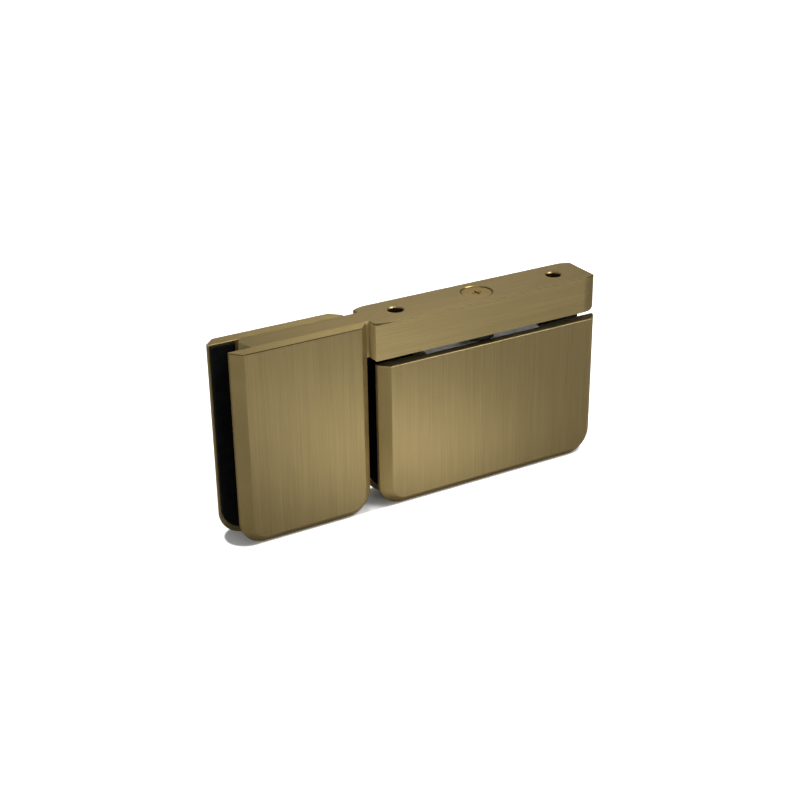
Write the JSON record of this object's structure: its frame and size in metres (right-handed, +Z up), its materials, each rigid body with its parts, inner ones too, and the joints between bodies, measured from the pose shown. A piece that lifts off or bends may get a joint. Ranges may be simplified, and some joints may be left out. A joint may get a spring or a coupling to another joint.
{
  "type": "glass door patch fitting",
  "caption": "Top pivot patch fitting for a glass door, with a header bar, a turning door clamp and a clamp for the fixed glass panel beside it.",
  "frame": {"origin": "on the pivot axis at the bar's top face, midway between the two header screw holes", "axes": "+X along the bar away from the side clamp, +Y to the back where the clamp screws are driven, +Z up to the header"},
  "size_m": [0.1806, 0.0222, 0.0875],
  "materials": {
    "brushed_bronze": "brushed satin bronze, clear lacquered",
    "gasket": "smooth black",
    "sleeve": "moulded black",
    "clamp_screw": "bronze plated",
    "bush": "turned black acetal",
    "core": "machined",
    "lock_screw": "turned, plated to match the bar",
    "pin_steel": "turned stainless steel",
    "spring_steel": "drawn wire"
  },
  "bodies": {
    "header": {"header_bar": "brushed_bronze", "pivot_pin": "pin_steel", "pivot_lock_screw": "lock_screw", "pin_index_dowel": "pin_steel", "side_front_plate": "brushed_bronze", "side_back_plate": "brushed_bronze", "side_front_gasket": "gasket", "side_back_gasket": "gasket", "side_glass_sleeves": "sleeve", "side_clamp_screws": "clamp_screw"},
    "door": {"door_core_block": "core", "door_front_plate": "brushed_bronze", "door_back_plate": "brushed_bronze", "door_front_gasket": "gasket", "door_back_gasket": "gasket", "door_glass_sleeves": "sleeve", "door_clamp_screws": "clamp_screw", "upper_flange_bush": "bush", "lower_bush": "bush", "pin_retaining_ring": "pin_steel", "core_end_plug": "core", "right_detent_spring": "spring_steel", "left_detent_spring": "spring_steel", "right_adjusting_screw": "pin_steel", "left_adjusting_screw": "pin_steel"},
    "right_plunger": {"right_detent_plunger": "pin_steel"},
    "left_plunger": {"left_detent_plunger": "pin_steel"}
  },
  "joints": [
    {"name": "door_pivot", "type": "hinge", "parent": "header", "child": "door", "pos_m": [0, 0, 0], "axis": [0, 0, 1], "range_deg": [-90, 90]},
    {"name": "right_plunger_slide", "type": "slide", "parent": "door", "child": "right_plunger", "axis": [1, 0, 0], "range_m": [-0.0006, 0.0004], "deforming": ["right_detent_spring"]},
    {"name": "left_plunger_slide", "type": "slide", "parent": "door", "child": "left_plunger", "axis": [-1, 0, 0], "range_m": [-0.0006, 0.0004], "deforming": ["left_detent_spring"]}
  ]
}
